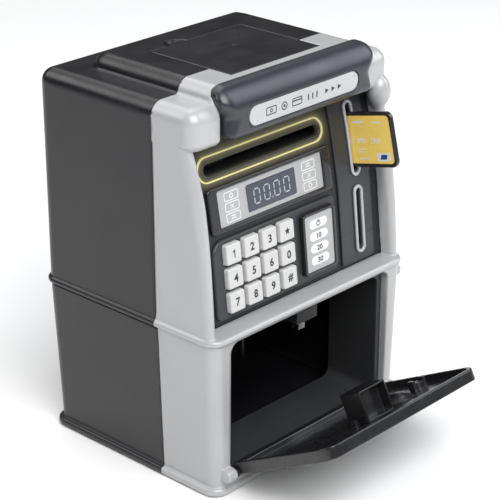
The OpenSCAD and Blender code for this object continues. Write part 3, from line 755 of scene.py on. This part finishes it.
def lid(x, y, z):
    """Flush battery lid with a finger tab and a moulded arrow mark."""
    outline = rect2(x, y, -31.4, -34.2, 31.4, 19, 0.9)
    plate = both(outline, slab(z, DECK_Z - 2, DECK_Z - 0.02), 0.35)
    tab = both(rod2(x, y, -13, 17.5, 5.2), slab(z, DECK_Z - 1.5, DECK_Z - 0.25), 0.4)
    plate = either(plate, tab, 0.3)
    u, v = x - 3.5, y + 3.5
    mark = both(both(u * 0.86 + v * 0.5 - 1.0, -u * 0.86 + v * 0.5 - 1.0), -v - 1.1)
    return cut(plate, both(mark, DECK_Z - 0.5 - z), 0.1)


# ---------------- cash box


def low_body(x, y, z, grow=0.0):
    """Drafted box of the cash box; grow is negative for the inner wall."""
    k = (z - 0.6) / (WAIST_Z - 0.7)
    hx = HALF - 2.5 * (1 - k) + grow
    front = -58.4 - 1.0 * k - grow
    back = BACK - 2.4 * (1 - k) + grow
    return box2(x, y - (front + back) / 2, hx, (back - front) / 2, ROUND)


def low_outer(x, y, z):
    """Outer form of the cash box with the bead around its foot."""
    form = both(low_body(x, y, z), slab(z, 0.5, WAIST_Z - GAP), 0.2)
    bead = rect2(x, y, FOOT_LO[0], -60, FOOT_HI[0], FOOT_HI[1], BEAD_ROUND)
    return either(form, both(bead, slab(z, 0.5, 4.5), 1.5), 0.9)


def under_recess(x, y, z):
    """Recess in the underside that takes the base plate."""
    return both(rect2(x, y, -66, -56, 66, 54, 5), z - 2.6)


def lower_shell(x, y, z):
    """Dark rear part of the cash box, open at the front and in the floor."""
    out = low_outer(x, y, z)
    out = cut(out, both(low_body(x, y, z, -WALL), 4.5 - z, 0.8), 0.3)
    out = cut(out, under_recess(x, y, z), 0.2)
    floor_hole = both(rect2(x, y, -63, -80, 63, 51, 5), z - 6)
    out = cut(out, floor_hole, 0.3)
    return both(out, LOW_SEAM_Y + GAP - y, 0.30)


def lower_frame(x, y, z):
    """Light front of the cash box: door opening, hinge lugs and the knob on the right side."""
    ax = np.abs(x)
    out = low_outer(x, y, z)
    hollow = both(low_body(x, y, z, -WALL), -53 - y, 0.8)
    out = cut(out, both(hollow, 4.5 - z), 0.3)
    doorway = rect2(x, z, -58.5, 7.2, 58.5, 80.2, 5.0)
    out = cut(out, both(doorway, y + 45), 0.9)
    lug = both(rod2(y, z, HINGE_Y, HINGE_Z, LUG_R), slab(ax, LUG_IN, LUG_OUT), 0.7)
    web = rect2(y, z, HINGE_Y, HINGE_Z - LUG_R, -56, HINGE_Z + LUG_R)
    web = both(web, slab(ax, LUG_IN, LUG_OUT), 0.6)
    out = either(out, either(lug, web, 0.3), 0.7)
    knob = both(both(rect2(y, z, -57, 72.6, -50, 78.6, 2.2), x - 72), 66 - x, 0.7)
    out = either(out, knob, 0.5)
    # room for the door's roll, then the bores of the hinge pins
    out = cut(out, both(rod2(y, z, HINGE_Y, HINGE_Z, 5.4), ax - 58.5), 0.3)
    out = cut(out, both(rod2(y, z, HINGE_Y, HINGE_Z, 1.25), ax - 64))
    out = cut(out, under_recess(x, y, z), 0.2)
    out = cut(out, both(rect2(x, y, -63, -50, 63, 80, 5), z - 6), 0.3)
    return both(out, y - LOW_SEAM_Y + GAP, 0.30)


def vault_liner(x, y, z):
    """Sleeve inside the door opening, notched at the top for the lock."""
    lo, hi = LINER_LO, LINER_HI
    out = both(rect2(x, z, lo[0], lo[2], hi[0], hi[2], 4.8), slab(y, lo[1], hi[1]), 0.8)
    out = cut(out, rect2(x, z, -54.5, 9.6, 54.5, 77.4, 5.0), 0.8)
    return cut(out, both(both(np.abs(x) - 7.7, y + 41.8), 70 - z), 0.3)


# ---------------- fascia and what is on it


def key_spot(k):
    """Centre (u, v) of key k on the lowest fascia plane, counted in rows from the top left."""
    return KEY_U + (k % 4) * KEY_PITCH[0], KEY_V + (2 - k // 4) * KEY_PITCH[1]


def key_holes(x, v, half, r):
    """Square openings around all twelve keys."""
    pu, pv = KEY_PITCH
    du = x - KEY_U - np.clip(np.round((x - KEY_U) / pu), 0, 3) * pu
    dv = v - KEY_V - np.clip(np.round((v - KEY_V) / pv), 0, 2) * pv
    return box2(du, dv, half, half, r)


def note_slot(x, v, grow=0.0):
    """Mouth of the banknote slot, or a line around it."""
    return stadium(x - NOTE_X, v - NOTE_V, 40 + grow, 2.5 + grow)


def slot2(x, z, heights, w):
    """Upright slot between two heights, in line with the card."""
    z0, z1 = heights
    return stadium(z - (z0 + z1) / 2, x - CARD_X, (z1 - z0) / 2, w / 2)


def fascia(x, y, z):
    """Dark bent panel with the key holes, the banknote slot and the two slits."""
    out_by = fascia_out(y, z)
    out = both(both(slab(out_by, -2.4, 0), slab(x, -66.0, 66.0), 0.3), slab(z, 86.2, 178.2), 0.3)
    v1, w1 = on_plane(0, y, z)
    v3, w3 = on_plane(2, y, z)
    out = cut(out, both(key_holes(x, v1, KEY_HOLE, 1.2), slab(w1, -6, 6)), 0.2)
    # raised lip, groove of the light ring, slot mouth
    lip = both(np.abs(note_slot(x, v3, 1.1)) - 0.95, slab(w3, -1.5, 0.75), 0.6)
    out = either(out, lip, 0.4)
    groove = both(np.abs(note_slot(x, v3, RING_GROW)) - 0.75, slab(w3, -1.1, 8), 0.2)
    out = cut(out, groove, 0.35)
    out = cut(out, both(note_slot(x, v3), slab(w3, -7, 7)), 0.55)
    return cut(out, both(slit_holes(x, z), slab(y, -60, -30)), 0.2)


def slit_holes(x, z):
    """Card slot above, coin slot below."""
    return np.minimum(slot2(x, z, CARD_SLOT, 3.6), slot2(x, z, COIN_SLOT, 3.2))


def light_ring(x, y, z):
    v, w = on_plane(2, y, z)
    return both(np.abs(note_slot(x, v, RING_GROW)) - 0.36, slab(w, -1.1, 0.3), 0.34)


def bay_panel(x, y, z):
    out = both(rect2(x, z, 33, 87.2, 58, 176.2, 1.6), slab(fascia_out(y, z), -0.02, 1.2), 0.75)
    return cut(out, slit_holes(x, z), 0.3)


def slot_rim(x, y, z, heights):
    ring_line = np.abs(slot2(x, z, heights, 5.3)) - 0.85
    return both(ring_line, slab(fascia_out(y, z), 1.1, 2.45), 0.65)


def keypad_plate(x, y, z):
    v, w = on_plane(0, y, z)
    draft = 0.45 * w
    outline = rect2(x, v, -58.6, 2, 29, 42, 3.0) + draft
    corner = (-(x + 58.6) + (v - 42)) * 0.7071 + 3.4 + draft
    out = both(both(outline, corner, 1.5), slab(w, -0.02, 1.6), 0.55)
    return cut(out, key_holes(x, v, KEY_HOLE, 1.3), 0.45)


def amount_block(x, y, z):
    v, w = on_plane(0, y, z)
    out = both(rect2(x, v, 1.8, 5.8, 26.4, 38.4, 2.4) + 0.10 * (w - 1.4), slab(w, 1.38, 4.4), 0.6)
    return cut(out, both(rect2(x, v, 3.4, 7.6, 24.2, 36.8, 1.4), 3.6 - w), 0.25)


def display_bezel(x, y, z):
    v, w = on_plane(1, y, z)
    out = both(rect2(x, v, -57.4, 1.2, 29, 24, 2.6) + 0.2 * w, slab(w, -0.02, 2.0), 0.6)
    return cut(out, rect2(x, v, -51, 3.6, 23, 21.8, 1.2), 0.5)


def key_cap(u, v, w):
    """One key around its own centre; w is measured from the fascia."""
    side = box2(u, v, 5.2, 5.2, 1.3) + 0.13 * np.maximum(w - 1.4, 0)
    cap = both(side, slab(w, -2.7, 3.8), 0.62)
    rim = both(box2(u, v, 5.85, 5.85, 0.6), slab(w, -3.9, -2.7), 0.15)
    return either(cap, rim, 0.1)


# ---------------- visor


def visor(x, y, z):
    """Glossy hood over the banknote slot, with a recess for its label."""
    lo, hi = VISOR_LO, VISOR_HI
    nose = both(lo[1] - y, z - hi[2], 11.8)
    nose = both(nose, lo[2] - z, 3.6)
    # the ends widen upwards and lie on the rounded corner blocks
    flare = np.clip((z - 186.5) / 10, 0, 1)
    flare = flare * flare * (3 - 2 * flare)
    end = (np.abs(x) - 50.6 - 4.9 * flare) * 0.92
    round_end = 3.0 + 3.6 * np.clip((z - 179) / 8, 0, 1)
    out = both(nose, end, round_end)
    out = blend_max(out, both(end, z - hi[2], 9.0), 0.6)
    back = either(y + 40.8, both(y + 38.7, z - 191.2), 0.3)
    out = both(out, back, 0.4)
    corner_block = both(both(tall_box(x, y, z), -47 - y, 7.5), 50.8 - np.abs(x), 2.4)
    out = cut(out, corner_block - 0.1, 0.4)
    recess = both(stadium(x, z - LABEL_Z, 39.3, 5.5), y - lo[1] - 0.55)
    return cut(out, recess, 0.35)


def visor_label(x, y, z):
    return both(stadium(x, z - LABEL_Z, 38.6, 4.85), slab(y, VISOR_LO[1] + 0.02, -51.0), 0.3)


# ---------------- door


def chamfered(ax, h, half, top):
    """Line that takes off the two upper corners of the door."""
    return (ax - half) * 0.829 + (h - top) * 0.559


def door(x, y, z):
    """Door leaf: a tray with rims inside, a finger dish outside and the roll of its hinge."""
    t, h = door_frame(y, z)
    ax = np.abs(x)
    leaf = rect2(x, h, -DOOR_HALF, -0.2, DOOR_HALF, 67.8, 0.8)
    leaf = both(leaf, chamfered(ax, h, DOOR_HALF, 62.0), 2.0)
    block = both(leaf, slab(t, -1.6, 4.6), 0.55)
    tray = rect2(x, h, -55.0, 4.6, 55.0, 65.4, 1.0)
    tray = both(tray, chamfered(ax, h, 55.0, 61.2), 1.5)
    block = cut(block, both(tray, 1.0 - t, 0.4), 0.35)
    roll = both(rod2(t, h, 0, 0, 2.6), ax - DOOR_HALF, 0.5)
    out = either(block, roll, 0.5)
    # back of the finger dish, then the dish
    dx, dh = x - DISH_X, h - GRIP_H
    reach = np.hypot(dx, dh)
    dome = both(both(ball(dx, dh, t + 6.0, 11.4), reach - 10), 0.5 - t)
    out = either(out, dome, 0.7)
    dish = both(both(ball(dx, dh, t + 13.2, 14.8), reach - 7.6, 0.8), t - 1.8)
    out = cut(out, dish, 0.4)
    # post with two prongs beside it, and a small clip
    post = both(rod2(x, h, KNOB_X, GRIP_H, 3.2), slab(t, 0.5, 4.9), 0.3)
    post = cut(post, both(rod2(x, h, KNOB_X, GRIP_H, 1.4), 2 - t))
    out = either(out, post, 0.4)
    prong = box2(np.abs(x - KNOB_X) - 4, dh, 1.0, 2.0, 0.3)
    out = either(out, both(prong, slab(t, 0.5, 6.4), 0.3), 0.3)
    clip = both(rect2(x, h, -14, 40, -11.4, 45, 0.3), slab(t, 0.5, 4.4), 0.3)
    out = either(out, clip, 0.3)
    return cut(out, both(rod2(t, h, 0, 0, 1.35), 52.2 - ax))


def latch_box(x, y, z):
    """Box on the door that the lock bolt drops into."""
    t, h = door_frame(y, z)
    out = both(rect2(x, h, -9.6, 36.4, 9.6, 50, 0.5), slab(t, 1.05, 17.0), 0.35)
    out = cut(out, both(rect2(x, t, -8.7, 2.1, 8.7, 16.0, 0.4), 44.3 - h, 0.3), 0.2)
    return cut(out, both(rect2(x, t, -8.4, 2.4, 8.4, 15.7, 0.4), h - 42.8, 0.3), 0.2)


# ---------------- card


def card_body(x, y, z):
    """Card with a raised rim around its gold face."""
    a, b = card_frame(y, z)
    rim = 1.8
    out = both(rect2(a, b, 0, 0, CARD_LEN, CARD_H, 3.6), slab(x - CARD_X, -1.1, 1.1), 0.5)
    face = rect2(a, b, rim, rim, CARD_LEN - rim, CARD_H - rim, 2.2)
    return cut(out, both(face, x - CARD_X + 0.8), 0.15)


# ---------------- the moulded pieces

mould("upper_shell", upper_shell, 0.5)
mould("front_frame", front_frame, 0.4)
mould("lower_shell", lower_shell, 0.5)
mould("lower_frame", lower_frame, 0.4)
mould("vault_liner", vault_liner, 0.45, LINER_GREY)
mould("fascia", fascia, 0.3)
mould("light_ring", light_ring, 0.2)
mould("bay_panel", bay_panel, 0.3, KEYPAD_SLATE)
mould("keypad_plate", keypad_plate, 0.3, KEYPAD_SLATE)
mould("amount_block", amount_block, 0.25, BEZEL_GLOSS)
mould("display_bezel", display_bezel, 0.25, BEZEL_GLOSS)
mould("card_slot_bezel", lambda x, y, z: slot_rim(x, y, z, CARD_RIM), 0.2)
mould("coin_slot_bezel", lambda x, y, z: slot_rim(x, y, z, COIN_RIM), 0.2)
mould("visor", visor, 0.4)
mould("visor_label", visor_label, 0.3, SILVER_HATCH)
mould("battery_lid", lid, 0.35, LID_DARK)
mould("door", door, 0.3)
mould("latch_box", latch_box, 0.25)
mould("toy_card", card_body, 0.2)

# ---------------- keys and their figures

KEY_NAMES = ["1", "2", "3", "star", "4", "5", "6", "0", "7", "8", "9", "hash"]
KEY_MESH = field_mesh("key_shape", key_cap, (-5.9, -5.9, -3.9), (5.9, 5.9, 3.8), 0.2, 0.01)
KEY_INK = (3.78, 3.86)  # the figures stand in and just above the key's top at 3.8
KEY_TURN = Matrix.Rotation(math.pi / 2 - LEANS[0], 4, "X")
key_plane = plane_place(0)


def key_figure(name, u, v):
    """What is printed on a key."""
    if name == "star":
        return prism(star_loop(u, v, 2.1), *KEY_INK)
    if name == "1":
        return prism(one_loop(u, v), *KEY_INK)
    sign = {"hash": "#", "9": "6"}.get(name, name)
    figure = text_parts(sign, 5.5, u, v, 3.82, bold=0.03, wide=1.0)
    return turned(figure, u, v) if name == "9" else figure


for k, name in enumerate(KEY_NAMES):
    u0, v0 = key_spot(k)
    node = "key_" + name
    key = add_piece(node + "_look", KEY_MESH.copy(), node)
    key.matrix_world = Matrix.Translation(Vector(key_plane(u0, v0, 0)) * MM) @ KEY_TURN
    flat_piece(node + "_figure", [key_figure(name, u0, v0)], key_plane, node, INK_BLACK)

# ---------------- labels, screen, small prints

amount = [prism(round_loop(3.5, 7.7, 24.1, 36.7, 1.3), 3.3, 3.75, 0.12)]
flat_piece("amount_label_look", amount, key_plane, "amount_label")


def power_mark(u, v):
    """Ring with an upright bar through its top."""
    bar = [(u - 0.25, v + 0.2), (u + 0.25, v + 0.2), (u + 0.25, v + 1.9), (u - 0.25, v + 1.9)]
    return [ring(circle_loop(u, v, 1.45), circle_loop(u, v, 1.0), 3.84, 3.89),
            prism(bar, 3.84, 3.9)]


PILL_U = 13.4
pill_rows = [31.6 - row * 6.25 for row in range(4)]
pills = [prism(block_loop(PILL_U, v, 6.6, 2.3, 2.29, 10), 3.7, 3.86, 0.08) for v in pill_rows]
flat_piece("amount_pills", pills, key_plane, "amount_label", INK_WHITE)
figures = power_mark(PILL_U, pill_rows[0])
for text, v in zip(("10", "20", "30"), pill_rows[1:]):
    figures.append(text_parts(text, 3.6, PILL_U, v, 3.87, bold=0.025, wide=1.1))
flat_piece("amount_figures", figures, key_plane, "amount_label", INK_BLACK)

show_plane = plane_place(1)
label = [prism(round_loop(-50.9, 3.7, 22.9, 21.7, 1.1), 0.02, 1.0, 0.15)]
flat_piece("display_label_look", label, show_plane, "display_label")
screen = [prism(round_loop(-31.2, 6.0, 3.2, 19.2, 0.9), 0.9, 1.35, 0.2)]
flat_piece("display_screen_look", screen, show_plane, "display_screen")


def icon(u, v, kind):
    """Outlined button picture: a ring, a cross or two bars."""
    ink = (0.95, 1.06)
    parts = [ring(block_loop(u, v, 4.8, 2.2, 0.9), block_loop(u, v, 4.4, 1.8, 0.55), *ink)]
    if kind == "ring":
        parts.append(ring(circle_loop(u, v, 1.25), circle_loop(u, v, 0.8), *ink))
    for s in (-1, 1):
        if kind == "cross":
            foot, head = u - s * 1.2, u + s * 1.2
            parts.append(prism([(foot - 0.25, v - 1.1), (foot + 0.25, v - 1.1),
                                (head + 0.25, v + 1.1), (head - 0.25, v + 1.1)], *ink))
        elif kind == "bars":
            parts.append(prism(block_loop(u, v + s * 0.6, 1.5, 0.25, 0.2, 3), *ink))
    return parts


icons = []
for column, kinds in ((-41.3, ("ring", "cross", "bars")), (13.2, ("bars", "cross", "ring"))):
    for row, kind in enumerate(kinds):
        icons += icon(column, 17.5 - row * 5.15, kind)
flat_piece("display_icons", icons, show_plane, "display_label", INK_WHITE)

# four seven-segment noughts, each 4 wide and 7.4 high, and a point
LIT = (1.36, 1.41)
SEGMENTS = [(0, 3.6), (1.9, 1.8), (1.9, -1.8), (0, -3.6), (-1.9, -1.8), (-1.9, 1.8)]
digits = []
for u in (-24.5, -17.5, -10.5, -3.5):
    for du, dv in SEGMENTS:
        hu, hv = (0.34, 1.4) if du else (1.45, 0.34)
        digits.append(prism(block_loop(u + du, 12.6 + dv, hu, hv, 0.28, 2), *LIT))
digits.append(prism(block_loop(-14.1, 9.2, 0.4, 0.4, 0.2, 3), *LIT))
flat_piece("display_figures", digits, show_plane, "display_screen", LCD_GREY)


def visor_place(u, v, w):
    """u along the visor's label, v up, w out of it."""
    return u, VISOR_LO[1] + 0.02 - w, v


# on the visor's label: a banknote, a coin, a card, three bars and three arrows
INK = (-0.05, 0.04)
MID = LABEL_Z
marks = [prism([(u - 1.15, MID - 1.3), (u + 1.35, MID), (u - 1.15, MID + 1.3)], *INK)
         for u in (15.2, 19.8, 24.4)]
for rim, hole in ((block_loop(-24, MID, 3.5, 2.0, 0.5), block_loop(-24, MID, 3.0, 1.5, 0.3)),
                  (circle_loop(-24, MID, 1.0), circle_loop(-24, MID, 0.5)),
                  (circle_loop(-15, MID, 2.1), circle_loop(-15, MID, 1.55)),
                  (block_loop(-6, MID, 3.5, 2.0, 0.7), block_loop(-6, MID, 3.0, 1.5, 0.4))):
    marks.append(ring(rim, hole, *INK))
marks.append(prism(star_loop(-15, MID, 1.2), *INK))
marks.append(prism(block_loop(-6, MID + 0.55, 3.2, 0.35, 0.1, 2), *INK))
marks += [prism(block_loop(u, MID, 0.4, 1.6, 0.35, 3), *INK) for u in (2.0, 5.0, 8.0)]
flat_piece("visor_marks", marks, visor_place, "visor_label", INK_BLACK)

# ---------------- card print


def card_place(u, v, w):
    """u along the card from its outer end, v up, w out of its gold face (towards -X)."""
    s, c = math.sin(CARD_TILT), math.cos(CARD_TILT)
    return (CARD_X - 0.8 - w, CARD_Y + u * c + v * s, CARD_Z - u * s + v * c)


def card_mirror(u, v, w):
    """Seen from -X the outer end of the card is on the right, so figures run against u."""
    return card_place(CARD_LEN - u, v, w)


gold = [prism(round_loop(1.9, 1.9, CARD_LEN - 1.9, CARD_H - 1.9, 2.1), 0.0, 0.2, 0.05)]
flat_piece("card_face_look", gold, card_place, "card_face")
digit_row = [text_parts(text, 3.9, 7.0 + 8.6 * i, 13.6, 0.22, bold=0.01, wide=0.82)
             for i, text in enumerate(["0123", "4567", "8901", "2345"])]
flat_piece("card_figures", digit_row, card_mirror, "card_face", INK_WHITE)
STRIPES = [(20.0, 22.6, 26.5, 23.7), (32.0, 22.6, 38.5, 23.2), (21.0, 9.0, 26.0, 9.5),
           (21.0, 7.6, 25.5, 8.1), (21.0, 4.0, 27.5, 4.6)]
stripes = [prism(round_loop(*box, 0.2, 2), 0.19, 0.24) for box in STRIPES]
flat_piece("card_stripes", stripes, card_mirror, "card_face", INK_WHITE)
badge = prism(round_loop(32.5, 3.2, 41.0, 7.4, 0.5, 3), 0.19, 0.23)
flat_piece("card_badge", [badge], card_mirror, "card_face", INK_WHITE)
mark = prism([(34.4, 4.1), (38.4, 4.1), (39.3, 6.5), (35.3, 6.5)], 0.22, 0.26)
flat_piece("card_badge_mark", [mark], card_mirror, "card_face", INK_BLUE)

# ---------------- glow thrown on the dark panels


def paint_glow(mesh):
    """Stores how much ring light each vertex of a mesh gets, fading over 1.5 mm."""
    co = np.zeros(len(mesh.vertices) * 3, np.float32)
    mesh.vertices.foreach_get("co", co)
    x, y, z = co.reshape(-1, 3).T / MM
    v, w = on_plane(2, y, z)
    away = np.hypot(np.abs(note_slot(x, v, RING_GROW)), w)
    value = np.exp(-np.maximum(away - 0.5, 0) / 1.5).astype(np.float32)
    mesh.attributes.new("glow", "FLOAT", "POINT").data.foreach_set("value", value)


paint_glow(bpy.data.objects["fascia_look"].data)

# ---------------- CAD nodes that stay


def soften(obj, width):
    """Small rounded edges on a carried-over CAD node."""
    weld = obj.modifiers.new("weld", "WELD")
    weld.merge_threshold = 0.000002
    bevel = obj.modifiers.new("bevel", "BEVEL")
    bevel.width = width * MM
    bevel.segments = 2
    bevel.limit_method = "ANGLE"
    bevel.angle_limit = math.radians(35)
    smooth = obj.modifiers.new("normals", "WEIGHTED_NORMAL")
    smooth.keep_sharp = True


for node, obj in frame["nodes"].items():
    if obj.hide_render:
        continue
    obj.data.materials.clear()
    obj.data.materials.append(LOOK[SLOT_OF[node]])
    soften(obj, 0.15)

# ---------------- floor, light, camera


def floor():
    mesh = bpy.data.meshes.new("floor")
    side = 4.0
    corners = [(-side, -side, 0), (side, -side, 0), (side, side, 0), (-side, side, 0)]
    mesh.from_pydata(corners, [], [(0, 1, 2, 3)])
    obj = bpy.data.objects.new("floor", mesh)
    bpy.context.scene.collection.objects.link(obj)
    look = Look("floor_pale", 0.6, specular=0.2)
    look.set("Base Color", look.mix(look.noise(3, 2), (0.91, 0.91, 0.91), (0.93, 0.93, 0.93)))
    mesh.materials.append(look.material)


def soft_light(name, position, target, size, power, colour=(1.0, 1.0, 1.0)):
    data = bpy.data.lights.new(name, "AREA")
    data.shape = "RECTANGLE"
    data.size, data.size_y = size
    data.energy = power
    data.color = colour
    obj = bpy.data.objects.new(name, data)
    obj.location = position
    obj.rotation_mode = "QUATERNION"
    obj.rotation_quaternion = (Vector(target) - Vector(position)).to_track_quat("-Z", "Y")
    bpy.context.scene.collection.objects.link(obj)


def studio():
    world = bpy.data.worlds.new("studio")
    world.use_nodes = True
    background = world.node_tree.nodes["Background"]
    background.inputs["Color"].default_value = (1.0, 1.0, 1.0, 1.0)
    background.inputs["Strength"].default_value = 0.05
    bpy.context.scene.world = world
    aim = (0.0, -0.01, 0.10)
    soft_light("key", (-0.45, -0.95, 1.25), aim, (1.25, 1.25), 32)
    soft_light("side", (1.15, -0.70, 0.95), aim, (0.9, 1.2), 11, (0.90, 0.95, 1.0))
    soft_light("back", (-0.70, 0.95, 1.00), aim, (1.1, 0.6), 6)
    soft_light("sky", (0.65, 1.05, 1.85), (0.70, 0.90, 0.0), (2.0, 1.5), 20)


def camera():
    """The photograph's point of view, solved from its straight edges."""
    data = bpy.data.cameras.new("camera")
    data.lens = 129.5
    data.sensor_width = 36.0
    obj = bpy.data.objects.new("camera", data)
    back = Vector((-0.6729, -0.6231, 0.3988)).normalized()
    right = Vector((0.6794, -0.7337, 0.0)).normalized()
    up = back.cross(right)
    turn = Matrix((right, up, back)).transposed().to_4x4()
    obj.matrix_world = Matrix.Translation((-0.6075, -0.5794, 0.4577)) @ turn
    bpy.context.scene.collection.objects.link(obj)
    bpy.context.scene.camera = obj


floor()
studio()
camera()
bpy.context.scene.view_settings.view_transform = "Standard"
